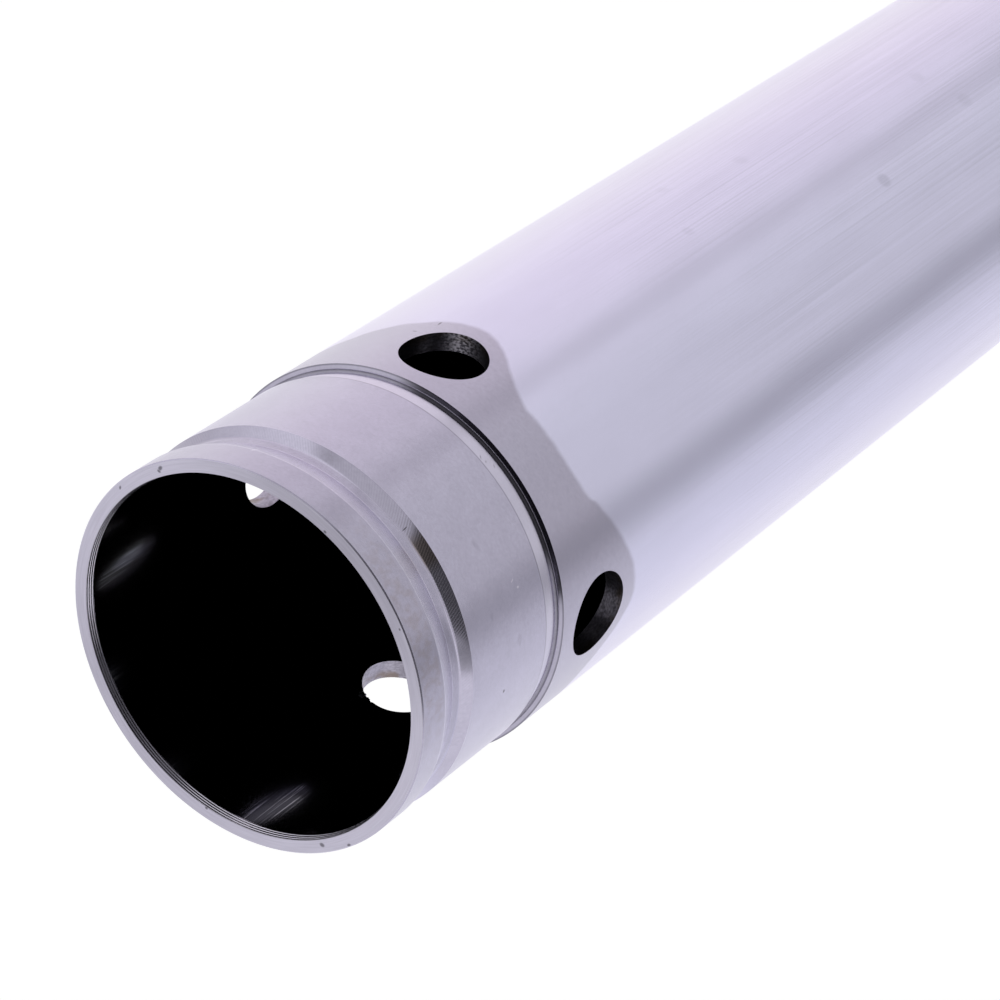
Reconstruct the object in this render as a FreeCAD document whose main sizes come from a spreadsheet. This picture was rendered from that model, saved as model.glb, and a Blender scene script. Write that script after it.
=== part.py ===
import FreeCAD, Part
import Sketcher
import os

# Motorcycle fork tube: one length of steel tube, hard-chromed outside, with one end turned down
# to carry the lower slide bush. It stands on its plain end, on the origin, and +Z runs up its
# axis to the turned end. +X and +Y run through the oil holes. Lengths in mm, angles in degrees.

SIZES = {
    "tube_length": 600.0,
    "tube_diameter": 43.0,
    "wall_thickness": 2.1,
    "plain_outer_chamfer": 0.5,
    "plain_bore_chamfer": 0.4,
    "mouth_taper_length": 1.0,
    "mouth_taper_depth": 0.18,
    "turned_depth": 0.47,
    "lip_length": 3.65,
    "lip_chamfer": 0.12,
    "relief_depth": 0.95,
    "relief_entry_angle": 20.0,
    "relief_floor_length": 0.94,
    "relief_exit_angle": 39.0,
    "relief_blend_radius": 1.0,
    "seat_length": 12.9,
    "undercut_depth": 0.45,
    "undercut_entry_angle": 12.5,
    "undercut_floor_length": 0.18,
    "shoulder_land_length": 0.09,
    "shoulder_angle": 73.0,
    "oil_hole_diameter": 9.2,
    "oil_hole_setback": 6.8,
    "oil_hole_count": 4,
}

# Radii of the surfaces, from the axis
tube_radius = "Sizes.tube_diameter / 2"
bore_radius = f"{tube_radius} - Sizes.wall_thickness"
mouth_radius = f"{bore_radius} + Sizes.mouth_taper_depth"
seat_radius = f"{tube_radius} - Sizes.turned_depth"
relief_radius = f"{seat_radius} - Sizes.relief_depth"
undercut_radius = f"{seat_radius} - Sizes.undercut_depth"

# Heights of the turned features, counted down from the turned end's face
top = "Sizes.tube_length"
mouth_foot = f"{top} - Sizes.mouth_taper_length"
lip_edge = f"{top} - Sizes.lip_chamfer"
lip_foot = f"{top} - Sizes.lip_length"
relief_top = f"{lip_foot} - Sizes.relief_depth / tan(Sizes.relief_entry_angle)"
relief_foot = f"{relief_top} - Sizes.relief_floor_length"
seat_top = f"{relief_foot} - Sizes.relief_depth / tan(Sizes.relief_exit_angle)"
seat_foot = f"{seat_top} - Sizes.seat_length"
undercut_top = f"{seat_foot} - Sizes.undercut_depth / tan(Sizes.undercut_entry_angle)"
undercut_foot = f"{undercut_top} - Sizes.undercut_floor_length"
shoulder_top = f"{undercut_foot} - Sizes.shoulder_land_length"
shoulder_foot = f"{shoulder_top} - Sizes.turned_depth / tan(Sizes.shoulder_angle)"
oil_hole_height = f"{shoulder_foot} - Sizes.oil_hole_setback"

# The relief's corners are rounded by the nose of the turning tool
tool_nose = "Sizes.relief_blend_radius"


def corner(across, up, blend=None):
    """A corner of an outline: radius, height and, where it is rounded, its blend radius."""
    return across, up, blend


# Half section of the tube, round its wall
SECTION = [
    corner(f"{bore_radius} + Sizes.plain_bore_chamfer", "0"),
    corner(f"{tube_radius} - Sizes.plain_outer_chamfer", "0"),
    corner(tube_radius, "Sizes.plain_outer_chamfer"),
    corner(tube_radius, shoulder_foot),
    corner(seat_radius, shoulder_top),
    corner(seat_radius, undercut_foot),
    corner(undercut_radius, undercut_foot),
    corner(undercut_radius, undercut_top),
    corner(seat_radius, seat_foot),
    corner(seat_radius, seat_top),
    corner(relief_radius, relief_foot, tool_nose),
    corner(relief_radius, relief_top, tool_nose),
    corner(seat_radius, lip_foot, tool_nose),
    corner(seat_radius, lip_edge),
    corner(f"{seat_radius} - Sizes.lip_chamfer", top),
    corner(mouth_radius, top),
    corner(bore_radius, mouth_foot),
    corner(bore_radius, "Sizes.plain_bore_chamfer"),
]


def make_sheet(doc):
    """The driving dimensions, one to a row."""
    sheet = doc.addObject("Spreadsheet::Sheet", "Sizes")
    for row, (name, value) in enumerate(SIZES.items(), start=1):
        sheet.set(f"A{row}", name)
        sheet.set(f"B{row}", str(value))
        sheet.setAlias(f"B{row}", name)
    doc.recompute()
    return sheet


def value_of(sheet, expression):
    """A length worked out from the sheet, as a plain number."""
    result = sheet.evalExpression(expression)
    return float(getattr(result, "Value", result))


def new_sketch(body, name, plane_role):
    """An empty sketch on one of the body's own origin planes."""
    plane = next(item for item in body.Origin.OriginFeatures if item.Role == plane_role)
    sketch = body.newObject("Sketcher::SketchObject", name)
    sketch.AttachmentSupport = [(plane, "")]
    sketch.MapMode = "FlatFace"
    return sketch


def bind(sketch, name, constraint, expression):
    """A named sketch dimension that follows an expression."""
    index = sketch.addConstraint(constraint)
    sketch.renameConstraint(index, name)
    sketch.setExpression(f"Constraints.{name}", expression)


def round_corner(sketch, index, radius):
    """Rounds the corner where a line starts, and gives the point that still marks the corner."""
    sketch.fillet(index, 1, radius, True, True)
    return sketch.GeometryCount - 1


def draw_outline(sheet, sketch, corners):
    """A closed outline whose corners are each held by two bound distances from the origin."""
    points = [
        FreeCAD.Vector(value_of(sheet, across), value_of(sheet, up), 0)
        for across, up, blend in corners
    ]
    for start, end in zip(points, points[1:] + points[:1]):
        sketch.addGeometry(Part.LineSegment(start, end), False)
    for index in range(len(corners)):
        before = (index - 1) % len(corners)
        sketch.addConstraint(Sketcher.Constraint("Coincident", before, 2, index, 1))
    for index, ((across, up, blend), point) in enumerate(zip(corners, points)):
        held = index
        if blend:
            radius = value_of(sheet, blend)
            held = round_corner(sketch, index, radius)
            bind(sketch, f"blend_{index}", Sketcher.Constraint("Radius", held - 1, radius), blend)
        across_held = Sketcher.Constraint("DistanceX", -1, 1, held, 1, point.x)
        bind(sketch, f"radius_{index}", across_held, across)
        if up == "0":
            sketch.addConstraint(Sketcher.Constraint("PointOnObject", held, 1, -1))
        else:
            up_held = Sketcher.Constraint("DistanceY", -1, 1, held, 1, point.y)
            bind(sketch, f"height_{index}", up_held, up)


def turn_tube(doc, sheet, body):
    """The whole turned section, revolved round the axis."""
    section = new_sketch(body, "section", "XZ_Plane")
    draw_outline(sheet, section, SECTION)
    turned = body.newObject("PartDesign::Revolution", "turned_tube")
    turned.Profile = section
    turned.ReferenceAxis = (section, ["V_Axis"])
    turned.Angle = 360.0
    doc.recompute()
    return section


def drill_oil_holes(doc, body, section):
    """One hole through the wall on the +X side, repeated round the axis."""
    circle = new_sketch(body, "oil_hole_circle", "YZ_Plane")
    circle.addGeometry(Part.Circle(FreeCAD.Vector(0, 1, 0), FreeCAD.Vector(0, 0, 1), 1), False)
    circle.addConstraint(Sketcher.Constraint("PointOnObject", 0, 3, -2))
    height = Sketcher.Constraint("DistanceY", -1, 1, 0, 3, 1)
    bind(circle, "height", height, oil_hole_height)
    bind(circle, "diameter", Sketcher.Constraint("Diameter", 0, 2), "Sizes.oil_hole_diameter")
    doc.recompute()
    undrilled = body.Tip.Shape.Volume
    hole = body.newObject("PartDesign::Pocket", "oil_hole")
    hole.Profile = circle
    hole.Type = "Length"
    hole.Reversed = True
    hole.setExpression("Length", "Sizes.tube_diameter")
    doc.recompute()
    if hole.Shape.Volume >= undrilled:
        raise RuntimeError("the oil hole cuts nothing")
    ring = body.newObject("PartDesign::PolarPattern", "oil_holes")
    ring.Originals = [hole]
    ring.Axis = (section, ["V_Axis"])
    ring.Angle = 360.0
    ring.setExpression("Occurrences", "Sizes.oil_hole_count")
    body.Tip = ring
    doc.recompute()


def make_fork_tube(doc, sheet):
    """The one piece that the object is."""
    body = doc.addObject("PartDesign::Body", "fork_tube_body")
    body.Label = "fork_tube"
    section = turn_tube(doc, sheet, body)
    drill_oil_holes(doc, body, section)
    body.Placement = FreeCAD.Placement()
    doc.recompute()
    return body


def check_and_write(doc, pieces):
    """Stops on any failed feature or faulty solid, then writes each piece's STEP file."""
    for item in doc.Objects:
        if "Invalid" in item.State or "Error" in item.State:
            raise RuntimeError(f"{item.Label} failed")
    for piece in pieces:
        if piece.Shape.isNull() or not piece.Shape.isValid() or len(piece.Shape.Solids) != 1:
            raise RuntimeError(f"{piece.Label} is not one valid solid")
    os.makedirs("parts", exist_ok=True)
    for piece in pieces:
        piece.Shape.exportStep(f"parts/{piece.Label}.step")
        print(piece.Label, "volume mm3", round(piece.Shape.Volume, 1))


def main():
    doc = FreeCAD.newDocument("fork_tube")
    sheet = make_sheet(doc)
    check_and_write(doc, [make_fork_tube(doc, sheet)])


main()
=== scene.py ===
import math
import bpy
from mathutils import Matrix, Vector


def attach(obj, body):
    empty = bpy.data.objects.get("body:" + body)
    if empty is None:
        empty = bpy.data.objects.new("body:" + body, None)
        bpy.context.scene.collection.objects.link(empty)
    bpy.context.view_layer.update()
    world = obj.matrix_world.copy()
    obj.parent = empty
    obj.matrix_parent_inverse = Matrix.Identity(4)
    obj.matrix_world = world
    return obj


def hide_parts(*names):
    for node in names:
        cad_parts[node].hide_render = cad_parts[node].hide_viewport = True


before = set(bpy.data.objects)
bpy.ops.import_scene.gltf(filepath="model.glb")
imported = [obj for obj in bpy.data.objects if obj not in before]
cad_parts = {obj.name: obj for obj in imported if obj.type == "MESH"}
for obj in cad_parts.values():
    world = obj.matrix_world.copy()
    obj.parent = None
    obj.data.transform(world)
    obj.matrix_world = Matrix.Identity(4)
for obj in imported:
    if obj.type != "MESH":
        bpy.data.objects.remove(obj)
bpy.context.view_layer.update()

# Looks of a motorcycle fork tube, standing on its plain end with the turned end up.
# Metres and degrees. Heights are counted up the tube, depths down from the turned end's face.

MM = 0.001

TUBE_LENGTH = 600.0 * MM
TUBE_RADIUS = 21.5 * MM
BORE_RADIUS = 19.4 * MM
PLAIN_OUTER_CHAMFER = 0.5 * MM
PLAIN_BORE_CHAMFER = 0.4 * MM
MOUTH_RADIUS = 19.58 * MM
MOUTH_TAPER_DEPTH = 1.0 * MM
SEAT_RADIUS = 21.03 * MM
LIP_DEPTH = 3.65 * MM
LIP_CHAMFER = 0.12 * MM
RELIEF_RADIUS = 20.08 * MM
RELIEF_ENTRY_ANGLE = 20.0
RELIEF_FLOOR_LENGTH = 0.94 * MM
RELIEF_EXIT_ANGLE = 39.0
TOOL_NOSE_RADIUS = 1.0 * MM
SEAT_LENGTH = 12.9 * MM
UNDERCUT_RADIUS = 20.58 * MM
UNDERCUT_ENTRY_ANGLE = 12.5
UNDERCUT_FLOOR_LENGTH = 0.18 * MM
SHOULDER_LAND_LENGTH = 0.09 * MM
SHOULDER_ANGLE = 73.0
OIL_HOLE_DIAMETER = 9.2 * MM
OIL_HOLE_SETBACK = 6.8 * MM
OIL_HOLE_COUNT = 4
OIL_HOLE_BAND = 6.2 * MM


def run_of(drop, slope):
    """Length along the tube in which a cone of this slope drops this far."""
    return drop / math.tan(math.radians(slope))


RELIEF_TOP_DEPTH = LIP_DEPTH + run_of(SEAT_RADIUS - RELIEF_RADIUS, RELIEF_ENTRY_ANGLE)
RELIEF_FOOT_DEPTH = RELIEF_TOP_DEPTH + RELIEF_FLOOR_LENGTH
SEAT_TOP_DEPTH = RELIEF_FOOT_DEPTH + run_of(SEAT_RADIUS - RELIEF_RADIUS, RELIEF_EXIT_ANGLE)
SEAT_FOOT_DEPTH = SEAT_TOP_DEPTH + SEAT_LENGTH
UNDERCUT_TOP_DEPTH = SEAT_FOOT_DEPTH + run_of(SEAT_RADIUS - UNDERCUT_RADIUS, UNDERCUT_ENTRY_ANGLE)
UNDERCUT_FOOT_DEPTH = UNDERCUT_TOP_DEPTH + UNDERCUT_FLOOR_LENGTH
SHOULDER_TOP_DEPTH = UNDERCUT_FOOT_DEPTH + SHOULDER_LAND_LENGTH
SHOULDER_FOOT_DEPTH = SHOULDER_TOP_DEPTH + run_of(TUBE_RADIUS - SEAT_RADIUS, SHOULDER_ANGLE)
OIL_HOLE_DEPTH = SHOULDER_FOOT_DEPTH + OIL_HOLE_SETBACK


def add_node(tree, kind, **settings):
    """A node with its own settings made."""
    node = tree.nodes.new(kind)
    for name, value in settings.items():
        setattr(node, name, value)
    return node


def feed(tree, socket, value):
    """Links another node's output to a socket, or writes a plain value on it."""
    if isinstance(value, bpy.types.NodeSocket):
        tree.links.new(value, socket)
    else:
        socket.default_value = value


def feed_all(tree, node, **values):
    """Feeds sockets by name; an underscore stands for a space."""
    for name, value in values.items():
        feed(tree, node.inputs[name.replace("_", " ")], value)
    return node


def sum_up(tree, operation, *values, clamp=False):
    """One Math node's result."""
    node = add_node(tree, "ShaderNodeMath", operation=operation, use_clamp=clamp)
    for socket, value in zip(node.inputs, values):
        feed(tree, socket, value)
    return node.outputs[0]


def times(tree, *values):
    """The product of two values."""
    return sum_up(tree, "MULTIPLY", *values)


def plus(tree, *values, clamp=False):
    """The sum of two values."""
    return sum_up(tree, "ADD", *values, clamp=clamp)


def minus(tree, *values):
    """The first value less the second."""
    return sum_up(tree, "SUBTRACT", *values)


def vector_math(tree, operation, *values):
    """A Vector Math node, fed."""
    node = add_node(tree, "ShaderNodeVectorMath", operation=operation)
    for socket, value in zip(node.inputs, values):
        feed(tree, socket, value)
    return node


def split(tree, vector):
    """A vector's three parts."""
    node = add_node(tree, "ShaderNodeSeparateXYZ")
    feed(tree, node.inputs[0], vector)
    return node.outputs


def join(tree, **parts):
    """A vector from its X, Y and Z, where a part left out is 0."""
    return feed_all(tree, add_node(tree, "ShaderNodeCombineXYZ"), **parts).outputs[0]


def place_round_axis(tree, place):
    """A place's part across the axis, its distance from the axis and its height."""
    parts = split(tree, place)
    flat = join(tree, X=parts["X"], Y=parts["Y"])
    return flat, vector_math(tree, "LENGTH", flat).outputs["Value"], parts["Z"]


def link(name, data):
    """A new object in the scene."""
    item = bpy.data.objects.new(name, data)
    bpy.context.scene.collection.objects.link(item)
    return item


def new_material(name):
    """A material and its empty node tree."""
    material = bpy.data.materials.new(name)
    material.use_nodes = True
    material.node_tree.nodes.clear()
    return material, material.node_tree


def direction(heading, rise):
    """The way to look for a heading and a rise in degrees."""
    turn = math.radians(heading)
    lift = math.radians(rise)
    return Vector((math.cos(lift) * math.cos(turn), math.cos(lift) * math.sin(turn), math.sin(lift)))


def ease(tree, value, start, end, low=0.0, high=1.0):
    """A smooth step from low to high while the value goes from start to end."""
    node = add_node(tree, "ShaderNodeMapRange", interpolation_type="SMOOTHSTEP")
    feed_all(tree, node, Value=value, From_Min=start, From_Max=end, To_Min=low, To_Max=high)
    return node.outputs["Result"]


def spread(tree, value, start, end, low=0.0, high=1.0):
    """A straight ramp from low to high, held at both ends."""
    node = add_node(tree, "ShaderNodeMapRange")
    feed_all(tree, node, Value=value, From_Min=start, From_Max=end, To_Min=low, To_Max=high)
    return node.outputs["Result"]


def new_group(name, kind, inputs, outputs):
    """An empty node group with named sockets, and its inlet and outlet nodes."""
    tree = bpy.data.node_groups.new(name, kind)
    for label, sort, value in inputs:
        socket = tree.interface.new_socket(label, in_out="INPUT", socket_type=sort)
        if value is not None:
            socket.default_value = value
    for label, sort in outputs:
        tree.interface.new_socket(label, in_out="OUTPUT", socket_type=sort)
    return tree, add_node(tree, "NodeGroupInput"), add_node(tree, "NodeGroupOutput")


# Shape of the tube, made by Geometry Nodes

ROUND_STEPS = 480
NOSE_STEPS = 6
DRILL_STEPS = 96
BAND_RINGS = 24
SHARP_EDGE_ANGLE = math.radians(7.5)
TORN_EDGE_ANGLE = 263.8
TORN_EDGE_RISE = 3.85 * MM
TORN_EDGE_SIZE = 1.1 * MM
TORN_EDGE_REACH = 0.1 * MM
TORN_EDGE_SEED = 5
DRILL_REACH = 0.4
SLACK = 0.03 * MM

LENGTH = "NodeSocketFloat"
COUNT = "NodeSocketInt"

TUBE_SIZES = [
    ("Tube Radius", TUBE_RADIUS),
    ("Bore Radius", BORE_RADIUS),
    ("Mouth Radius", MOUTH_RADIUS),
    ("Seat Radius", SEAT_RADIUS),
    ("Lip Face Radius", SEAT_RADIUS - LIP_CHAMFER),
    ("Relief Radius", RELIEF_RADIUS),
    ("Undercut Radius", UNDERCUT_RADIUS),
    ("Plain Face Outer Radius", TUBE_RADIUS - PLAIN_OUTER_CHAMFER),
    ("Plain Face Inner Radius", BORE_RADIUS + PLAIN_BORE_CHAMFER),
    ("Plain Face Height", 0.0),
    ("Plain Bore Height", PLAIN_BORE_CHAMFER),
    ("Plain Tube Height", PLAIN_OUTER_CHAMFER),
    ("Band Foot Height", TUBE_LENGTH - OIL_HOLE_DEPTH - OIL_HOLE_BAND),
    ("Oil Hole Height", TUBE_LENGTH - OIL_HOLE_DEPTH),
    ("Band Top Height", TUBE_LENGTH - OIL_HOLE_DEPTH + OIL_HOLE_BAND),
    ("Shoulder Foot Height", TUBE_LENGTH - SHOULDER_FOOT_DEPTH),
    ("Shoulder Top Height", TUBE_LENGTH - SHOULDER_TOP_DEPTH),
    ("Undercut Foot Height", TUBE_LENGTH - UNDERCUT_FOOT_DEPTH),
    ("Undercut Top Height", TUBE_LENGTH - UNDERCUT_TOP_DEPTH),
    ("Seat Foot Height", TUBE_LENGTH - SEAT_FOOT_DEPTH),
    ("Seat Top Height", TUBE_LENGTH - SEAT_TOP_DEPTH),
    ("Relief Foot Height", TUBE_LENGTH - RELIEF_FOOT_DEPTH),
    ("Relief Top Height", TUBE_LENGTH - RELIEF_TOP_DEPTH),
    ("Lip Foot Height", TUBE_LENGTH - LIP_DEPTH),
    ("Lip Edge Height", TUBE_LENGTH - LIP_CHAMFER),
    ("Mouth Foot Height", TUBE_LENGTH - MOUTH_TAPER_DEPTH),
    ("Turned Face Height", TUBE_LENGTH),
    ("Tool Nose Radius", TOOL_NOSE_RADIUS),
    ("Oil Hole Radius", OIL_HOLE_DIAMETER / 2),
]

TUBE_COUNTS = [
    ("Steps Round", ROUND_STEPS),
    ("Steps Round A Nose", NOSE_STEPS),
    ("Steps Round A Drill", DRILL_STEPS),
    ("Rings Past The Holes", BAND_RINGS),
    ("Oil Holes", OIL_HOLE_COUNT),
]

# Half section of the wall: radius and height of each corner, by the names above
SECTION = [
    ("Bore Radius", "Mouth Foot Height"),
    ("Bore Radius", "Band Top Height"),
    ("Bore Radius", "Band Foot Height"),
    ("Bore Radius", "Plain Bore Height"),
    ("Plain Face Inner Radius", "Plain Face Height"),
    ("Plain Face Outer Radius", "Plain Face Height"),
    ("Tube Radius", "Plain Tube Height"),
    ("Tube Radius", "Band Foot Height"),
    ("Tube Radius", "Band Top Height"),
    ("Tube Radius", "Shoulder Foot Height"),
    ("Seat Radius", "Shoulder Top Height"),
    ("Seat Radius", "Undercut Foot Height"),
    ("Undercut Radius", "Undercut Foot Height"),
    ("Undercut Radius", "Undercut Top Height"),
    ("Seat Radius", "Seat Foot Height"),
    ("Seat Radius", "Seat Top Height"),
    ("Relief Radius", "Relief Foot Height"),
    ("Relief Radius", "Relief Top Height"),
    ("Seat Radius", "Lip Foot Height"),
    ("Seat Radius", "Lip Edge Height"),
    ("Lip Face Radius", "Turned Face Height"),
    ("Mouth Radius", "Turned Face Height"),
]
BORE_BAND_CORNER = 1
TUBE_BAND_CORNER = 7
FIRST_ROUNDED_CORNER = 16
LAST_ROUNDED_CORNER = 18


def compare(tree, sort, operation, a, b):
    """One Compare node's result."""
    node = add_node(tree, "FunctionNodeCompare", data_type=sort, operation=operation)
    places = {"INT": (2, 3), "FLOAT": (0, 1)}[sort]
    feed(tree, node.inputs[places[0]], a)
    feed(tree, node.inputs[places[1]], b)
    return node.outputs[0]


def above(tree, a, b):
    """True where the first length is greater."""
    return compare(tree, "FLOAT", "GREATER_THAN", a, b)


def both(tree, *tests):
    """True where every test is."""
    result = tests[0]
    for test in tests[1:]:
        node = add_node(tree, "FunctionNodeBooleanMath", operation="AND")
        feed(tree, node.inputs[0], result)
        feed(tree, node.inputs[1], test)
        result = node.outputs[0]
    return result


def draw_section(tree, sizes):
    """The wall's half section as a closed curve, its relief corners rounded by the tool's nose."""
    points = add_node(tree, "GeometryNodeMeshLine")
    feed_all(tree, points, Count=len(SECTION))
    index = add_node(tree, "GeometryNodeInputIndex").outputs[0]
    corners = add_node(tree, "GeometryNodeIndexSwitch", data_type="VECTOR")
    while len(corners.index_switch_items) < len(SECTION):
        corners.index_switch_items.new()
    feed(tree, corners.inputs["Index"], index)
    for place, (radius, height) in enumerate(SECTION):
        off_path = minus(tree, sizes[radius], sizes["Seat Radius"])
        corner = join(tree, X=off_path, Y=times(tree, sizes[height], -1.0))
        feed(tree, corners.inputs[place + 1], corner)
    placed = add_node(tree, "GeometryNodeSetPosition")
    feed_all(tree, placed, Geometry=points.outputs["Mesh"], Position=corners.outputs[0])
    line = add_node(tree, "GeometryNodeMeshToCurve")
    feed_all(tree, line, Mesh=placed.outputs["Geometry"])
    closed = add_node(tree, "GeometryNodeSetSplineCyclic")
    feed_all(tree, closed, Geometry=line.outputs["Curve"], Cyclic=True)
    rounded_here = both(
        tree,
        compare(tree, "INT", "GREATER_EQUAL", index, FIRST_ROUNDED_CORNER),
        compare(tree, "INT", "LESS_EQUAL", index, LAST_ROUNDED_CORNER),
    )
    rounded = add_node(tree, "GeometryNodeFilletCurve", mode="POLY")
    feed_all(
        tree,
        rounded,
        Curve=closed.outputs["Geometry"],
        Count=sizes["Steps Round A Nose"],
        Radius=times(tree, rounded_here, sizes["Tool Nose Radius"]),
    )
    in_bore_band = compare(tree, "INT", "EQUAL", index, BORE_BAND_CORNER)
    in_tube_band = compare(tree, "INT", "EQUAL", index, TUBE_BAND_CORNER)
    in_band = plus(tree, in_bore_band, in_tube_band)
    ringed = add_node(tree, "GeometryNodeSubdivideCurve")
    cuts = times(tree, in_band, sizes["Rings Past The Holes"])
    feed_all(tree, ringed, Curve=rounded.outputs["Curve"], Cuts=cuts)
    return ringed.outputs["Curve"]


def turn_section(tree, sizes, section):
    """The section carried round the axis."""
    path = add_node(tree, "GeometryNodeCurvePrimitiveCircle", mode="RADIUS")
    feed_all(tree, path, Resolution=sizes["Steps Round"], Radius=sizes["Seat Radius"])
    upright = add_node(tree, "GeometryNodeSetCurveNormal", mode="Z_UP")
    feed_all(tree, upright, Curve=path.outputs["Curve"])
    turned = add_node(tree, "GeometryNodeCurveToMesh")
    feed_all(tree, turned, Curve=upright.outputs["Curve"], Profile_Curve=section)
    return turned.outputs["Mesh"]


def drill_holes(tree, sizes, turned):
    """Holes through the wall, evenly round the axis, the first one on +X."""
    drill = add_node(tree, "GeometryNodeMeshCylinder", fill_type="NGON")
    reach = times(tree, sizes["Bore Radius"], DRILL_REACH)
    feed_all(
        tree,
        drill,
        Vertices=sizes["Steps Round A Drill"],
        Radius=sizes["Oil Hole Radius"],
        Depth=reach,
    )
    ring = add_node(tree, "GeometryNodeMeshCircle")
    feed_all(tree, ring, Vertices=sizes["Oil Holes"], Radius=sizes["Relief Radius"])
    raised = add_node(tree, "GeometryNodeTransform")
    height = join(tree, Z=sizes["Oil Hole Height"])
    feed_all(tree, raised, Geometry=ring.outputs["Mesh"], Translation=height)
    index = add_node(tree, "GeometryNodeInputIndex").outputs[0]
    step = sum_up(tree, "DIVIDE", math.tau, sizes["Oil Holes"])
    turn = join(tree, Y=math.pi / 2, Z=times(tree, index, step))
    drills = add_node(tree, "GeometryNodeInstanceOnPoints")
    feed_all(
        tree,
        drills,
        Points=raised.outputs["Geometry"],
        Instance=drill.outputs["Mesh"],
        Rotation=turn,
    )
    loose = add_node(tree, "GeometryNodeRealizeInstances")
    feed_all(tree, loose, Geometry=drills.outputs["Instances"])
    drilled = add_node(tree, "GeometryNodeMeshBoolean", operation="DIFFERENCE", solver="EXACT")
    feed(tree, drilled.inputs["Mesh 1"], turned)
    feed(tree, drilled.inputs["Mesh 2"], loose.outputs["Geometry"])
    return drilled.outputs["Mesh"]


def tear_edge(tree, sizes, shape):
    """The burr that the drill left on the inner edge of one hole."""
    turn = math.radians(TORN_EDGE_ANGLE)
    middle = join(
        tree,
        X=times(tree, sizes["Bore Radius"], math.cos(turn)),
        Y=times(tree, sizes["Bore Radius"], math.sin(turn)),
        Z=plus(tree, sizes["Oil Hole Height"], TORN_EDGE_RISE),
    )
    place = add_node(tree, "GeometryNodeInputPosition").outputs[0]
    gap = vector_math(tree, "DISTANCE", place, middle).outputs["Value"]
    shift = add_node(tree, "FunctionNodeRandomValue", data_type="FLOAT_VECTOR")
    feed(tree, shift.inputs[0], (-TORN_EDGE_REACH, -TORN_EDGE_REACH, -TORN_EDGE_REACH))
    feed(tree, shift.inputs[1], (TORN_EDGE_REACH, TORN_EDGE_REACH, TORN_EDGE_REACH))
    feed(tree, shift.inputs["Seed"], TORN_EDGE_SEED)
    torn = add_node(tree, "GeometryNodeSetPosition")
    near = above(tree, TORN_EDGE_SIZE, gap)
    feed_all(tree, torn, Geometry=shape, Selection=near, Offset=shift.outputs[0])
    return torn.outputs["Geometry"]


def soften(tree, shape):
    """Smooth shading, with every true corner kept sharp."""
    smooth = add_node(tree, "GeometryNodeSetShadeSmooth", domain="FACE")
    feed_all(tree, smooth, Geometry=shape, Shade_Smooth=True)
    angle = add_node(tree, "GeometryNodeInputMeshEdgeAngle").outputs["Unsigned Angle"]
    sharp = add_node(tree, "GeometryNodeSetShadeSmooth", domain="EDGE")
    feed_all(
        tree,
        sharp,
        Geometry=smooth.outputs["Geometry"],
        Selection=above(tree, angle, SHARP_EDGE_ANGLE),
        Shade_Smooth=False,
    )
    return sharp.outputs["Geometry"]


def finish_faces(tree, sizes, shape, finishes):
    """One finish for each kind of surface, told apart by its radius and height."""
    place = add_node(tree, "GeometryNodeInputPosition").outputs[0]
    radius, height = place_round_axis(tree, place)[1:]
    past_bore = plus(tree, sizes["Bore Radius"], SLACK)
    past_lip_face = plus(tree, sizes["Lip Face Radius"], SLACK)
    past_mouth_foot = plus(tree, sizes["Mouth Foot Height"], SLACK)
    inside_tube = minus(tree, sizes["Tube Radius"], SLACK)
    off_hole = sum_up(tree, "ABSOLUTE", minus(tree, height, sizes["Oil Hole Height"]))
    tests = {
        "turned_steel": None,
        "hard_chrome": above(tree, radius, inside_tube),
        "faced_steel": both(
            tree,
            above(tree, height, past_mouth_foot),
            above(tree, past_lip_face, radius),
        ),
        "drawn_bore": above(tree, past_bore, radius),
        "drilled_wall": both(
            tree,
            above(tree, sizes["Oil Hole Radius"], off_hole),
            above(tree, radius, past_bore),
            above(tree, inside_tube, radius),
        ),
    }
    real = add_node(tree, "GeometryNodeRealizeInstances")
    feed_all(tree, real, Geometry=shape)
    done = real.outputs["Geometry"]
    for name, test in tests.items():
        painted = add_node(tree, "GeometryNodeSetMaterial")
        feed_all(tree, painted, Geometry=done, Material=finishes[name])
        if test is not None:
            feed_all(tree, painted, Selection=test)
        done = painted.outputs["Geometry"]
    return done


def build_tube(finishes):
    """The whole tube as one plain mesh."""
    inputs = [("Geometry", "NodeSocketGeometry", None)]
    inputs += [(label, LENGTH, value) for label, value in TUBE_SIZES]
    inputs += [(label, COUNT, value) for label, value in TUBE_COUNTS]
    outputs = [("Geometry", "NodeSocketGeometry")]
    tree, inlet, outlet = new_group("turned_tube_maker", "GeometryNodeTree", inputs, outputs)
    sizes = {socket.name: socket for socket in inlet.outputs if socket.name}
    turned = turn_section(tree, sizes, draw_section(tree, sizes))
    drilled = drill_holes(tree, sizes, turned)
    torn = tear_edge(tree, sizes, drilled)
    feed(tree, outlet.inputs[0], finish_faces(tree, sizes, soften(tree, torn), finishes))
    maker = link("tube_maker", bpy.data.meshes.new("tube_maker"))
    modifier = maker.modifiers.new("turned_tube", "NODES")
    modifier.node_group = tree
    wanted = dict(TUBE_SIZES + TUBE_COUNTS)
    for item in tree.interface.items_tree:
        if item.in_out == "INPUT" and item.name in wanted:
            modifier[item.identifier] = wanted[item.name]
    seen = bpy.context.evaluated_depsgraph_get()
    mesh = bpy.data.meshes.new_from_object(maker.evaluated_get(seen), depsgraph=seen)
    maker.modifiers.remove(modifier)
    bpy.data.objects.remove(maker)
    mesh.name = "turned_tube"
    for slot in reversed(range(len(mesh.materials))):
        if mesh.materials[slot] is None:
            mesh.materials.pop(index=slot)
    return link("turned_tube", mesh)


# Shader groups

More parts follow.
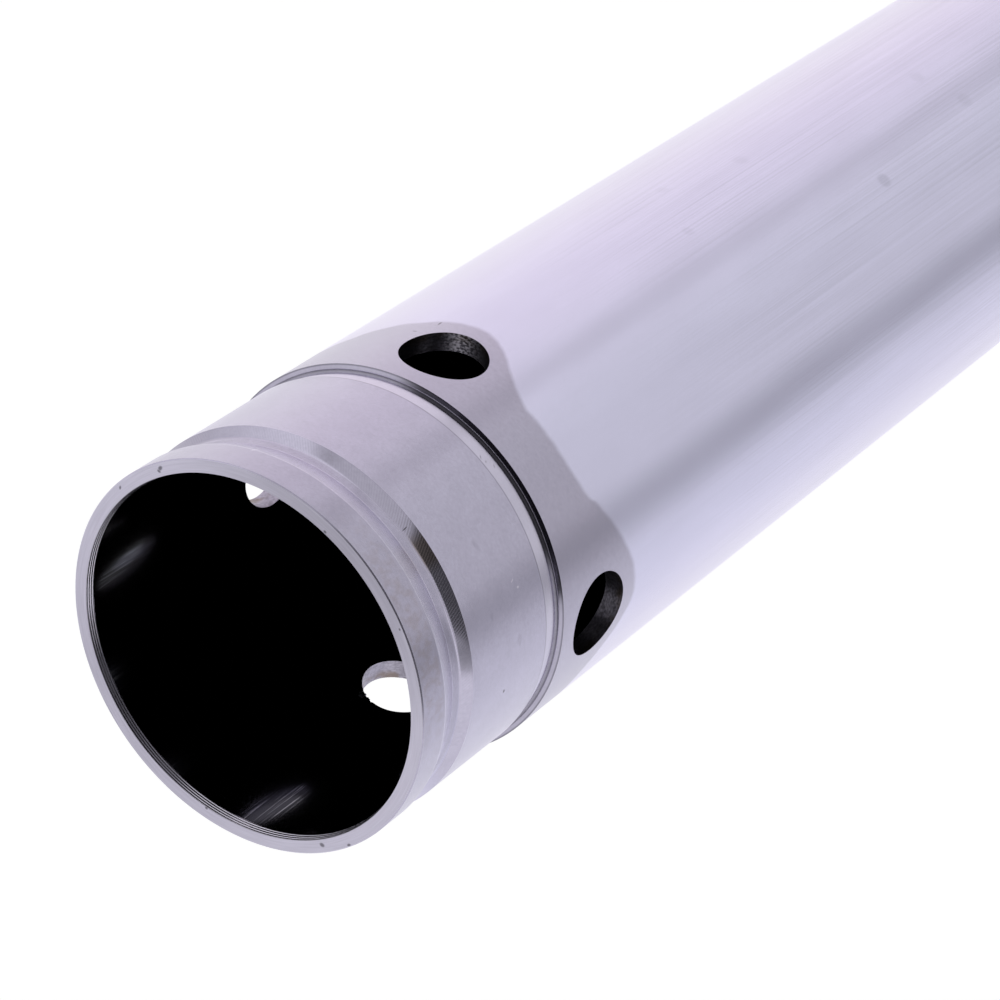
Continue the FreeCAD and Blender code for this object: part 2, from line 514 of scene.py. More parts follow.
DEPTH_IN_MM = TUBE_LENGTH / MM
TUBE_RADIUS_IN_MM = TUBE_RADIUS / MM
SEAT_RADIUS_IN_MM = SEAT_RADIUS / MM
UNDERCUT_RADIUS_IN_MM = UNDERCUT_RADIUS / MM

VALUE = "NodeSocketFloat"
VECTOR = "NodeSocketVector"


def make_place_group():
    """Where a point lies on the tube: its angle in degrees, its radius and its depth in mm."""
    tree, inlet, outlet = new_group(
        "place_on_tube",
        "ShaderNodeTree",
        [("Position", VECTOR, None)],
        [("Angle", VALUE), ("Radius", VALUE), ("Depth", VALUE)],
    )
    x, y, z = split(tree, inlet.outputs["Position"])
    turn = sum_up(tree, "DEGREES", sum_up(tree, "ARCTAN2", y, x))
    angle = sum_up(tree, "FLOORED_MODULO", turn, 360.0)
    squares = plus(tree, times(tree, x, x), times(tree, y, y))
    radius = times(tree, sum_up(tree, "SQRT", squares), 1 / MM)
    depth = minus(tree, DEPTH_IN_MM, times(tree, z, 1 / MM))
    feed_all(tree, outlet, Angle=angle, Radius=radius, Depth=depth)
    return tree


def make_grain_group():
    """Noise drawn out along or round the tube, in waves per mm and, round it, per radian."""
    tree, inlet, outlet = new_group(
        "metal_grain",
        "ShaderNodeTree",
        [
            ("Position", VECTOR, None),
            ("Radial Scale", VALUE, 1.0),
            ("Round Scale", VALUE, 20.0),
            ("Length Scale", VALUE, 1.0),
            ("Detail", VALUE, 3.0),
            ("Seed", VALUE, 0.0),
        ],
        [("Grain", VALUE)],
    )
    flat, radius, height = place_round_axis(tree, inlet.outputs["Position"])
    way = split(tree, vector_math(tree, "NORMALIZE", flat).outputs[0])
    stretched = join(
        tree,
        X=times(tree, times(tree, radius, 1 / MM), inlet.outputs["Radial Scale"]),
        Y=times(tree, way["X"], inlet.outputs["Round Scale"]),
        Z=times(tree, way["Y"], inlet.outputs["Round Scale"]),
    )
    along = times(tree, times(tree, height, 1 / MM), inlet.outputs["Length Scale"])
    noise = add_node(tree, "ShaderNodeTexNoise", noise_dimensions="4D")
    feed_all(
        tree,
        noise,
        Vector=stretched,
        W=plus(tree, along, inlet.outputs["Seed"]),
        Scale=1.0,
        Detail=inlet.outputs["Detail"],
    )
    feed(tree, outlet.inputs["Grain"], noise.outputs[0])
    return tree


def make_speck_group():
    """Scattered specks: Cell Size in mm, Speck Size a share of it, Amount a share of the cells."""
    tree, inlet, outlet = new_group(
        "scattered_specks",
        "ShaderNodeTree",
        [
            ("Position", VECTOR, None),
            ("Cell Size", VALUE, 1.0),
            ("Speck Size", VALUE, 0.1),
            ("Amount", VALUE, 0.3),
        ],
        [("Mask", VALUE)],
    )
    cells = add_node(tree, "ShaderNodeTexVoronoi", feature="F1")
    fineness = sum_up(tree, "DIVIDE", 1 / MM, inlet.outputs["Cell Size"])
    feed_all(tree, cells, Vector=inlet.outputs["Position"], Scale=fineness)
    chance = add_node(tree, "ShaderNodeSeparateColor")
    feed(tree, chance.inputs[0], cells.outputs["Color"])
    size = times(tree, inlet.outputs["Speck Size"], chance.outputs["Green"])
    edge = times(tree, size, 0.5)
    dot = ease(tree, cells.outputs["Distance"], size, edge)
    chosen = sum_up(tree, "LESS_THAN", chance.outputs["Red"], inlet.outputs["Amount"])
    feed(tree, outlet.inputs["Mask"], times(tree, dot, chosen))
    return tree


def make_mark_group():
    """One small mark. Sizes are in mm, Lean is its turn in degrees away from the tube's length."""
    tree, inlet, outlet = new_group(
        "small_mark",
        "ShaderNodeTree",
        [
            ("Angle", VALUE, 0.0),
            ("Depth", VALUE, 0.0),
            ("At Angle", VALUE, 0.0),
            ("At Depth", VALUE, 0.0),
            ("Half Width", VALUE, 0.2),
            ("Half Length", VALUE, 0.2),
            ("Lean", VALUE, 0.0),
        ],
        [("Mask", VALUE)],
    )
    off_angle = minus(tree, inlet.outputs["Angle"], inlet.outputs["At Angle"])
    across = times(tree, off_angle, math.radians(1) * TUBE_RADIUS_IN_MM)
    along = minus(tree, inlet.outputs["Depth"], inlet.outputs["At Depth"])
    lean = sum_up(tree, "RADIANS", inlet.outputs["Lean"])
    cosine = sum_up(tree, "COSINE", lean)
    sine = sum_up(tree, "SINE", lean)
    sideways = minus(tree, times(tree, across, cosine), times(tree, along, sine))
    lengthways = plus(tree, times(tree, across, sine), times(tree, along, cosine))
    wide = sum_up(tree, "DIVIDE", sideways, inlet.outputs["Half Width"])
    long = sum_up(tree, "DIVIDE", lengthways, inlet.outputs["Half Length"])
    squares = plus(tree, times(tree, wide, wide), times(tree, long, long))
    feed(tree, outlet.inputs["Mask"], ease(tree, squares, 1.0, 0.1))
    return tree


SATIN_BASE_DEPTH = 30.8
SATIN_RISE = 6.5
SATIN_WIDE_SPAN = 44.0
SATIN_STEEP_SPAN = 30.0
SATIN_STEP = 0.42
SATIN_STEP_EDGE = 33.0
SATIN_STEP_FADE = 14.0
SATIN_STEP_FULL = 23.0
SATIN_STEP_KINK = 2.0
SATIN_SOFTNESS = 0.42


def make_satin_group():
    """1 on the ground band round the oil holes, 0 on the plating; it rises past each hole."""
    tree, inlet, outlet = new_group(
        "satin_band",
        "ShaderNodeTree",
        [
            ("Angle", VALUE, 0.0),
            ("Depth", VALUE, 0.0),
            ("Base Depth", VALUE, SATIN_BASE_DEPTH),
            ("Rise", VALUE, SATIN_RISE),
            ("Wide Span", VALUE, SATIN_WIDE_SPAN),
            ("Steep Span", VALUE, SATIN_STEEP_SPAN),
            ("Step", VALUE, SATIN_STEP),
            ("Step Edge", VALUE, SATIN_STEP_EDGE),
            ("Softness", VALUE, SATIN_SOFTNESS),
            ("Waver", VALUE, 0.0),
        ],
        [("Mask", VALUE)],
    )
    pitch = 360.0 / OIL_HOLE_COUNT
    shifted = plus(tree, inlet.outputs["Angle"], pitch / 2)
    from_hole = minus(tree, sum_up(tree, "FLOORED_MODULO", shifted, pitch), pitch / 2)
    wide_side = sum_up(tree, "GREATER_THAN", from_hole, 0.0)
    span_gap = minus(tree, inlet.outputs["Wide Span"], inlet.outputs["Steep Span"])
    span = plus(tree, inlet.outputs["Steep Span"], times(tree, wide_side, span_gap))
    share = sum_up(tree, "DIVIDE", sum_up(tree, "ABSOLUTE", from_hole), span)
    share = sum_up(tree, "MINIMUM", share, 1.0)
    wave = sum_up(tree, "COSINE", times(tree, share, math.pi))
    bump = sum_up(tree, "MULTIPLY_ADD", wave, 0.5, 0.5)
    rise = times(tree, bump, inlet.outputs["Rise"])
    edge = inlet.outputs["Step Edge"]
    before_edge = ease(tree, from_hole, edge, minus(tree, edge, SATIN_STEP_KINK))
    faded_in = ease(tree, from_hole, SATIN_STEP_FADE, SATIN_STEP_FULL)
    step = times(tree, before_edge, faded_in)
    step = times(tree, step, inlet.outputs["Step"])
    border = inlet.outputs["Base Depth"]
    for part in (rise, step, inlet.outputs["Waver"]):
        border = plus(tree, border, part)
    past = minus(tree, inlet.outputs["Depth"], border)
    soft = inlet.outputs["Softness"]
    feed(tree, outlet.inputs["Mask"], ease(tree, past, soft, times(tree, soft, -1.0)))
    return tree


def place_group(tree, group, **values):
    """A group placed in a material with its own values."""
    node = add_node(tree, "ShaderNodeGroup", node_tree=group)
    feed_all(tree, node, **values)
    return node


BLACK = (0.0, 0.0, 0.0, 1.0)
WHITE = (1.0, 1.0, 1.0, 1.0)
PALE_STEEL = (0.92, 0.88, 1.0, 1.0)


def mix_colours(tree, share, first, second):
    """A colour that goes from the first to the second as the share goes from 0 to 1."""
    node = add_node(tree, "ShaderNodeMix", data_type="RGBA")
    feed(tree, node.inputs[0], share)
    feed(tree, node.inputs[6], first)
    feed(tree, node.inputs[7], second)
    return node.outputs[2]


def darken(tree, colour, share, amount):
    """The colour with a share of its light taken away."""
    return mix_colours(tree, times(tree, share, amount), colour, BLACK)


def lighten(tree, colour, share, amount):
    """The colour brought a share of the way to pale steel, for painted highlights and lighter marks.
    """
    return mix_colours(tree, times(tree, share, amount), colour, PALE_STEEL)


def mix_values(tree, share, first, second):
    """A value that goes from the first to the second as the share goes from 0 to 1."""
    node = add_node(tree, "ShaderNodeMix", data_type="FLOAT")
    feed(tree, node.inputs[0], share)
    feed(tree, node.inputs[2], first)
    feed(tree, node.inputs[3], second)
    return node.outputs[0]


def between(tree, value, start, end, softness):
    """1 where the value lies between two others, with soft ends."""
    inside = ease(tree, value, start - softness, start + softness)
    return times(tree, inside, ease(tree, value, end + softness, end - softness))


def turned_away(tree, angle, centre):
    """How many degrees an angle lies to either side of a centre."""
    shifted = minus(tree, angle, centre - 180.0)
    off = minus(tree, sum_up(tree, "FLOORED_MODULO", shifted, 360.0), 180.0)
    return sum_up(tree, "ABSOLUTE", off)


def bump(tree, height):
    """A normal from a height in mm."""
    node = add_node(tree, "ShaderNodeBump")
    feed_all(tree, node, Height=height, Strength=1.0, Distance=MM)
    return node.outputs["Normal"]


class Finish:
    """A metal finish in the making: its tree, its shader and the shared groups' common values."""

    def __init__(self, name, groups, stretch, stretch_turn):
        self.material, self.tree = new_material(name)
        self.groups = groups
        self.shader = add_node(self.tree, "ShaderNodeBsdfPrincipled")
        out = add_node(self.tree, "ShaderNodeOutputMaterial")
        feed(self.tree, out.inputs["Surface"], self.shader.outputs[0])
        self.shader.inputs["Metallic"].default_value = 1.0
        self.shader.inputs["Anisotropic"].default_value = stretch
        self.shader.inputs["Anisotropic Rotation"].default_value = stretch_turn
        way = add_node(self.tree, "ShaderNodeTangent", direction_type="RADIAL", axis="Z")
        feed(self.tree, self.shader.inputs["Tangent"], way.outputs[0])
        self.place = add_node(self.tree, "ShaderNodeTexCoord").outputs["Object"]
        on_tube = place_group(self.tree, groups["place"], Position=self.place)
        self.angle = on_tube.outputs["Angle"]
        self.radius = on_tube.outputs["Radius"]
        self.depth = on_tube.outputs["Depth"]

    def grain(self, **values):
        return place_group(self.tree, self.groups["grain"], Position=self.place, **values).outputs[0]

    def specks(self, **values):
        return place_group(self.tree, self.groups["speck"], Position=self.place, **values).outputs[0]

    def marks(self, rows, along):
        """Several marks in one mask: angle, place along, half width, half length and lean of each."""
        total = 0.0
        for angle, place, width, length, lean in rows:
            node = place_group(
                self.tree,
                self.groups["mark"],
                Angle=self.angle,
                Depth=along,
                At_Angle=angle,
                At_Depth=place,
                Half_Width=width,
                Half_Length=length,
                Lean=lean,
            )
            total = sum_up(self.tree, "MAXIMUM", total, node.outputs[0])
        return total

    def near(self, centre, start, end):
        """0 that many degrees away from an angle on the tube, 1 nearer to it."""
        return ease(self.tree, turned_away(self.tree, self.angle, centre), start, end)

    def facing(self, start, end):
        """0 where the surface faces the viewer, 1 where it is seen edge on."""
        node = add_node(self.tree, "ShaderNodeLayerWeight")
        return ease(self.tree, node.outputs["Facing"], start, end)

    def zone(self, start, end, softness=0.04):
        """1 between two depths in mm."""
        return between(self.tree, self.depth, start, end, softness)

    def paint(self, colour, roughness, normal):
        feed(self.tree, self.shader.inputs["Base Color"], colour)
        feed(self.tree, self.shader.inputs["Roughness"], roughness)
        feed(self.tree, self.shader.inputs["Normal"], normal)
        return self.material


CHROME_COLOUR = (0.735, 0.715, 0.905, 1.0)
GROUND_COLOUR = (0.50, 0.472, 0.59, 1.0)
STEEL_COLOUR = (0.575, 0.545, 0.685, 1.0)
FACE_COLOUR = (0.56, 0.535, 0.65, 1.0)
BORE_COLOUR = (0.03, 0.03, 0.042, 1.0)
DRAWN_LINE_COLOUR = (0.30, 0.30, 0.34, 1.0)
HOLE_COLOUR = (0.47, 0.44, 0.54, 1.0)
OIL_STAIN = (0.34, 0.275, 0.25, 1.0)
BROWN_OIL = (0.25, 0.195, 0.165, 1.0)
EDGE_SHEEN_CHROME = (0.95, 0.865, 1.0, 1.0)
HEAT_TINT = (0.74, 0.70, 0.50, 1.0)

# Marks: angle on the tube and depth in mm, half width, half length and lean
CHROME_STAINS = [(58.8, 104.0, 1.15, 1.35, 0.0)]
FAINT_STAINS = [
    (65.4, 128.1, 1.3, 1.5, 0.0),
    (91.6, 90.4, 1.2, 1.3, 0.0),
    (98.6, 78.0, 0.9, 1.0, 0.0),
    (79.9, 71.8, 0.9, 1.0, 0.0),
    (81.4, 126.0, 1.2, 1.4, 0.0),
]
CHROME_TICKS = [(101.2, 35.9, 0.10, 0.5, 4.0), (104.5, 33.2, 0.35, 0.08, 0.0)]
STEEL_TICKS = [
    (59.0, 21.7, 0.05, 0.35, 50.0),
    (57.2, 21.9, 0.05, 0.22, 30.0),
    (55.0, 22.6, 0.05, 0.3, 60.0),
    (54.9, 7.6, 0.07, 0.3, 10.0),
    (357.1, 14.2, 0.26, 0.15, 0.0),
]
BORE_GLEAM = [(180.2, 6.9, 1.1, 3.6, 0.0)]
STEEL_GLINTS = [
    (24.3, 17.5, 0.14, 0.2, 20.0),
    (26.8, 16.9, 0.06, 0.3, 30.0),
    (99.4, 3.81, 0.6, 0.1, 80.0),
]
STEEL_SMUDGES = [
    (40.5, 14.0, 0.9, 0.35, 20.0),
    (21.9, 12.6, 0.6, 0.3, -10.0),
    (10.0, 16.5, 0.9, 0.5, 0.0),
]
FACE_NICKS = [
    (66.8, 19.8, 0.26, 0.18, 0.0),
    (124.5, 20.4, 0.42, 0.26, 20.0),
    (125.4, 20.15, 0.2, 0.3, 50.0),
    (261.3, 19.7, 0.26, 0.2, 0.0),
    (303.3, 20.15, 0.4, 0.3, -20.0),
    (312.8, 20.8, 0.32, 0.2, 0.0),
    (34.0, 20.6, 0.18, 0.14, 0.0),
    (142.0, 20.5, 0.3, 0.15, 30.0),
]
HANDLED_ANGLE = 30.0
SHADED_FACE_ANGLE = 64.0
BROWN_CONE_ANGLE = 47.0
SHADED_CONE_ANGLE = 150.0
FLECK_ANGLE = 38.0
SHADED_BORE_ANGLE = 226.0
BORE_GLEAM_ANGLE = 180.0
SHADED_GROOVE_ANGLE = 56.0
LIGHT_PATCH_ANGLE = 91.0
SHADED_HOLES_ANGLE = 45.0

# Scoring on the cone: degrees between two lines, and radians of lean for each mm of depth
HATCH_PITCH = 0.9
HATCH_LEAN = -18.5

# Shading in mm: how far the undercut's wall sinks and its slope rises, the pitch and height of the
# mouth's rings, and the mouth's dish for each mm of depth
WALL_ROUNDING = -1.6
SLOPE_LIFT = 0.85
MOUTH_RING_PITCH = 0.27
MOUTH_RING_HEIGHT = 0.021
MOUTH_DISH = 0.06

# Depths in mm where the turned end changes
LIP_FOOT = LIP_DEPTH / MM
RELIEF_TOP = RELIEF_TOP_DEPTH / MM
RELIEF_FOOT = RELIEF_FOOT_DEPTH / MM
SEAT_TOP = SEAT_TOP_DEPTH / MM
SEAT_FOOT = SEAT_FOOT_DEPTH / MM
UNDERCUT_TOP = UNDERCUT_TOP_DEPTH / MM
UNDERCUT_FOOT = UNDERCUT_FOOT_DEPTH / MM
SHOULDER_TOP = SHOULDER_TOP_DEPTH / MM
SHOULDER_FOOT = SHOULDER_FOOT_DEPTH / MM


def make_hard_chrome(groups):
    """Plating with polishing streaks along it, and the ground band round the oil holes."""
    finish = Finish("hard_chrome", groups, 0.92, 0.25)
    tree = finish.tree
    streaks = finish.grain(Radial_Scale=0.0, Round_Scale=150.0, Length_Scale=0.016, Detail=3.0)
    patches = finish.grain(Radial_Scale=0.0, Round_Scale=5.0, Length_Scale=0.02, Detail=2.0, Seed=9.0)
    clouds = finish.grain(Radial_Scale=0.0, Round_Scale=6.0, Length_Scale=0.08, Detail=3.0, Seed=4.0)
    film = finish.grain(Radial_Scale=0.0, Round_Scale=70.0, Length_Scale=3.0, Detail=3.0, Seed=2.0)
    brushing = finish.grain(Radial_Scale=1.0, Round_Scale=55.0, Length_Scale=3.6, Detail=2.0)
    waver = spread(tree, finish.grain(Round_Scale=9.0, Length_Scale=0.0), 0.3, 0.7, -0.14, 0.14)
    on_band = place_group(tree, groups["satin"], Angle=finish.angle, Depth=finish.depth, Waver=waver)
    satin = on_band.outputs[0]
    streaked = times(tree, spread(tree, streaks, 0.42, 0.7), ease(tree, patches, 0.3, 0.56))
    streaked = times(tree, streaked, ease(tree, finish.depth, 45.0, 85.0))
    plated = darken(tree, CHROME_COLOUR, spread(tree, clouds, 0.3, 0.7), 0.045)
    plated = darken(tree, plated, streaked, 0.11)
    plated = darken(tree, plated, spread(tree, film, 0.35, 0.65), 0.03)
    plated = darken(tree, plated, finish.marks(CHROME_STAINS, finish.depth), 0.14)
    plated = darken(tree, plated, finish.marks(FAINT_STAINS, finish.depth), 0.06)
    freckles = finish.specks(Cell_Size=4.0, Speck_Size=0.05, Amount=0.3)
    plated = darken(tree, plated, freckles, 0.1)
    # Painted sheen: the plating lightened towards pale chrome where it is seen edge on
    plated_edge_sheen = times(tree, finish.facing(0.5, 0.85), 0.4)
    plated = mix_colours(tree, plated_edge_sheen, plated, EDGE_SHEEN_CHROME)
    ground = darken(tree, GROUND_COLOUR, spread(tree, brushing, 0.3, 0.7), 0.07)
    # Painted sheen: the ground band lightened where it is seen edge on
    ground_edge_sheen = finish.facing(0.42, 0.72)
    ground = lighten(tree, ground, ground_edge_sheen, 0.22)
    colour = mix_colours(tree, satin, plated, ground)
    colour = darken(tree, colour, finish.marks(CHROME_TICKS, finish.depth), 0.75)
    rough_plated = spread(tree, streaks, 0.3, 0.7, 0.19, 0.25)
    rough_ground = spread(tree, brushing, 0.3, 0.7, 0.235, 0.265)
    roughness = mix_values(tree, satin, rough_plated, rough_ground)
    relief = mix_values(tree, satin, times(tree, streaks, 0.0006), times(tree, brushing, 0.0002))
    return finish.paint(colour, roughness, bump(tree, relief))


def make_turned_steel(groups):
    """Ground and turned steel between the end face and the plating."""
    finish = Finish("turned_steel", groups, 0.96, 0.25)
    tree = finish.tree
    cone = finish.zone(RELIEF_FOOT, SEAT_TOP)
    shoulder = finish.zone(SHOULDER_TOP, SHOULDER_FOOT, 0.02)
    undercut = finish.zone(SEAT_FOOT, UNDERCUT_TOP)
    wall = ease(tree, finish.depth, UNDERCUT_TOP + 0.02, UNDERCUT_TOP + 0.1)
    full_radius = ease(tree, finish.radius, SEAT_RADIUS_IN_MM - 0.1, SEAT_RADIUS_IN_MM)
    land = times(tree, finish.zone(UNDERCUT_FOOT, SHOULDER_TOP, 0.02), full_radius)
    brushing = finish.grain(Radial_Scale=2.0, Round_Scale=55.0, Length_Scale=3.6, Detail=2.0)
    mottle = finish.grain(Radial_Scale=0.5, Round_Scale=12.0, Length_Scale=0.5, Detail=4.0, Seed=7.0)
    lean = times(tree, finish.depth, HATCH_LEAN)
    lines = sum_up(tree, "MULTIPLY_ADD", finish.angle, math.tau / HATCH_PITCH, lean)
    hatch = sum_up(tree, "MULTIPLY_ADD", sum_up(tree, "SINE", lines), 0.5, 0.5)
    stains = finish.grain(Radial_Scale=0.0, Round_Scale=26.0, Length_Scale=0.9, Detail=4.0, Seed=8.0)
    colour = darken(tree, STEEL_COLOUR, spread(tree, brushing, 0.3, 0.7), 0.07)
    colour = darken(tree, colour, spread(tree, mottle, 0.35, 0.7), 0.06)
    colour = darken(tree, colour, finish.zone(-1.0, LIP_FOOT), 0.1)
    colour = darken(tree, colour, finish.zone(RELIEF_TOP, RELIEF_FOOT), 0.1)
    # Painted highlights: the undercut's slope lightened, and thin light lines at the lip's foot and
    # the relief's top edge
    colour = lighten(tree, colour, undercut, 0.18)
    colour = lighten(tree, colour, finish.zone(LIP_FOOT, LIP_FOOT + 0.06, 0.05), 0.5)
    colour = lighten(tree, colour, finish.zone(RELIEF_TOP - 0.1, RELIEF_TOP + 0.02, 0.07), 0.6)
    browned = finish.near(BROWN_CONE_ANGLE, 7.0, 2.0)
    heat_line = times(tree, finish.zone(RELIEF_FOOT - 0.06, RELIEF_FOOT, 0.04), browned)
    colour = mix_colours(tree, times(tree, heat_line, 0.1), colour, HEAT_TINT)
    # Painted shade: a dark line along the seat's foot
    colour = darken(tree, colour, finish.zone(SEAT_FOOT - 0.08, SEAT_FOOT + 0.03, 0.04), 0.4)
    # Painted shade at the top of the undercut's wall and on the shoulder, with a painted highlight on
    # the land between them
    wall_top = ease(tree, finish.radius, SEAT_RADIUS_IN_MM - 0.3, SEAT_RADIUS_IN_MM - 0.03)
    corner = times(tree, wall, minus(tree, 1.0, land))
    wall_top = times(tree, wall_top, times(tree, corner, minus(tree, 1.0, shoulder)))
    colour = darken(tree, colour, wall_top, 0.6)
    colour = lighten(tree, colour, land, 0.4)
    colour = darken(tree, colour, shoulder, 0.2)
    shoulder_edge = ease(tree, finish.radius, SEAT_RADIUS_IN_MM + 0.25, SEAT_RADIUS_IN_MM + 0.4)
    colour = darken(tree, colour, times(tree, shoulder, shoulder_edge), 0.45)
    # Painted shade: the undercut's corner darkened much further round one side of the tube
    groove_shade = finish.near(SHADED_GROOVE_ANGLE, 38.0, 27.0)
    colour = darken(tree, colour, times(tree, corner, groove_shade), 0.82)
    # Painted sheen: lighter where the steel is seen edge on
    colour = lighten(tree, colour, finish.facing(0.42, 0.72), 0.22)
    handled = finish.near(HANDLED_ANGLE, 45.0, 10.0)
    handled = times(tree, handled, finish.zone(0.3, LIP_FOOT - 0.3, 0.3))
    handled = times(tree, handled, ease(tree, stains, 0.4, 0.65))
    colour = mix_colours(tree, times(tree, handled, 0.3), colour, OIL_STAIN)
    # Lighter flecks along the lip's foot, on one side
    light_flecks = finish.grain(Radial_Scale=0.0, Round_Scale=140.0, Length_Scale=4.5, Detail=4.0, Seed=3.0)
    fleck_band = finish.zone(LIP_FOOT, LIP_FOOT + 0.9, 0.12)
    light_flecks = times(tree, ease(tree, light_flecks, 0.56, 0.64), fleck_band)
    near_flecks = finish.near(FLECK_ANGLE, 24.0, 8.0)
    colour = lighten(tree, colour, times(tree, light_flecks, near_flecks), 0.5)
    freckles = finish.specks(Cell_Size=1.6, Speck_Size=0.06, Amount=0.35)
    colour = darken(tree, colour, freckles, 0.25)
    colour = darken(tree, colour, finish.marks(STEEL_SMUDGES, finish.depth), 0.1)
    colour = darken(tree, colour, finish.marks(STEEL_TICKS, finish.depth), 0.85)
    colour = lighten(tree, colour, finish.marks(STEEL_GLINTS, finish.depth), 0.8)
    roughness = spread(tree, brushing, 0.3, 0.7, 0.235, 0.265)
    mirrored = sum_up(tree, "MAXIMUM", cone, shoulder)
    scored = times(tree, hatch, cone)
    mirrored_roughness = mix_values(tree, scored, 0.055, 0.142)
    roughness = mix_values(tree, mirrored, roughness, mirrored_roughness)
    roughness = mix_values(tree, undercut, roughness, 0.2)
    colour = darken(tree, colour, scored, 0.05)
    # Painted shade: the dark band the cone reflects, deepened round one side
    shaded_cone = finish.near(SHADED_CONE_ANGLE, 60.0, 10.0)
    colour = darken(tree, colour, times(tree, cone, shaded_cone), 0.33)
    brown_start = ease(tree, finish.depth, RELIEF_FOOT + 0.04, RELIEF_FOOT + 0.24)
    browned_cone = times(tree, times(tree, cone, browned), 0.75)
    browned_cone = times(tree, browned_cone, brown_start)
    colour = mix_colours(tree, browned_cone, colour, BROWN_OIL)
    relief = times(tree, brushing, 0.0002)
    wall_span = (UNDERCUT_RADIUS_IN_MM, SEAT_RADIUS_IN_MM - 0.1)
    rounding = spread(tree, finish.radius, *wall_span, 0.0, WALL_ROUNDING)
    relief = sum_up(tree, "MULTIPLY_ADD", rounding, wall, relief)
    lift = spread(tree, finish.depth, SEAT_FOOT, UNDERCUT_TOP, 0.0, SLOPE_LIFT)
    relief = plus(tree, relief, lift)
    return finish.paint(colour, roughness, bump(tree, relief))


def make_faced_steel(groups):
    """The faced end and the taper of the mouth, with the facing tool's rings."""
    finish = Finish("faced_steel", groups, 0.8, 0.25)
    tree = finish.tree
    rings = finish.grain(Radial_Scale=9.0, Round_Scale=5.0, Length_Scale=9.0, Detail=3.0)
    taper = finish.zone(0.05, 2.0, 0.03)
    colour = darken(tree, FACE_COLOUR, spread(tree, rings, 0.3, 0.7), 0.12)
    shaded_side = finish.near(SHADED_FACE_ANGLE, 62.0, 8.0)
    colour = darken(tree, colour, shaded_side, 0.22)
    freckles = finish.specks(Cell_Size=1.8, Speck_Size=0.07, Amount=0.4)
    colour = darken(tree, colour, freckles, 0.35)
    colour = darken(tree, colour, finish.marks(FACE_NICKS, finish.radius), 0.65)
    # Painted light on the mouth's taper: shade round one side, highlight on the rest
    shaded_sector = finish.near(SHADED_BORE_ANGLE, 34.0, 20.0)
    colour = darken(tree, colour, times(tree, taper, shaded_sector), 0.5)
    bright = times(tree, taper, minus(tree, 1.0, shaded_sector))
    colour = lighten(tree, colour, bright, 0.4)
    roughness = mix_values(tree, taper, spread(tree, rings, 0.3, 0.7, 0.28, 0.38), 0.2)
    ripple = sum_up(tree, "SINE", times(tree, finish.depth, math.tau / MOUTH_RING_PITCH))
    dish = times(tree, finish.depth, MOUTH_DISH)
    ripple = sum_up(tree, "MULTIPLY_ADD", ripple, MOUTH_RING_HEIGHT, dish)
    relief = times(tree, rings, 0.002)
    relief = plus(tree, relief, times(tree, ripple, taper))
    return finish.paint(colour, roughness, bump(tree, relief))


def make_drawn_bore(groups):
    """The oiled inside of the drawn tube, streaked along its length."""
    finish = Finish("drawn_bore", groups, 0.5, 0.0)
    tree = finish.tree
    streaks = finish.grain(Radial_Scale=0.0, Round_Scale=90.0, Length_Scale=0.12, Detail=4.0)
    lines = ease(tree, streaks, 0.52, 0.7)
    colour = mix_colours(tree, lines, BORE_COLOUR, DRAWN_LINE_COLOUR)
    # Painted shade in the bore: darker round one side, and beside its gleam though not on the gleam
    # itself
    shaded_sector = finish.near(SHADED_BORE_ANGLE, 42.0, 26.0)
    colour = darken(tree, colour, shaded_sector, 0.75)
    beside = finish.near(BORE_GLEAM_ANGLE, 24.0, 18.0)
    off_gleam = minus(tree, 1.0, finish.marks(BORE_GLEAM, finish.depth))
    colour = darken(tree, colour, times(tree, beside, off_gleam), 0.85)
    roughness = mix_values(tree, lines, 0.11, 0.07)
    return finish.paint(colour, roughness, bump(tree, times(tree, streaks, 0.003)))


def make_drilled_wall(groups):
    """The torn wall of a drilled hole, with lighter patches, and painted shade on the holes of one
    side.
    """
    finish = Finish("drilled_wall", groups, 0.0, 0.0)
    tree = finish.tree
    tearing = finish.grain(Radial_Scale=5.0, Round_Scale=62.0, Length_Scale=2.6, Detail=5.0)
    patches = finish.grain(Radial_Scale=0.6, Round_Scale=12.0, Length_Scale=0.4, Detail=3.0, Seed=5.0)
    streaks = spread(tree, tearing, 0.35, 0.65)
    shaded_holes = finish.near(SHADED_HOLES_ANGLE, 88.0, 72.0)
    colour = darken(tree, HOLE_COLOUR, streaks, 0.25)
    outer_side = ease(tree, finish.radius, 20.3, 21.1)
    browned = times(tree, ease(tree, patches, 0.42, 0.6), times(tree, outer_side, 0.8))
    colour = mix_colours(tree, browned, colour, BROWN_OIL)
    # Painted shade on the walls of the holes on the near side
    colour = darken(tree, colour, shaded_holes, 0.72)
    colour = darken(tree, colour, times(tree, shaded_holes, streaks), 0.45)
    # A lighter patch low in one hole's wall
    lighter_patch = finish.near(LIGHT_PATCH_ANGLE, 7.0, 3.0)
    lighter_patch = times(tree, lighter_patch, ease(tree, finish.depth, 33.2, 34.4))
    lighter_patch = times(tree, lighter_patch, ease(tree, tearing, 0.58, 0.42))
    colour = lighten(tree, colour, lighter_patch, 0.2)
    roughness = spread(tree, tearing, 0.3, 0.7, 0.28, 0.45)
    return finish.paint(colour, roughness, bump(tree, times(tree, tearing, 0.04)))


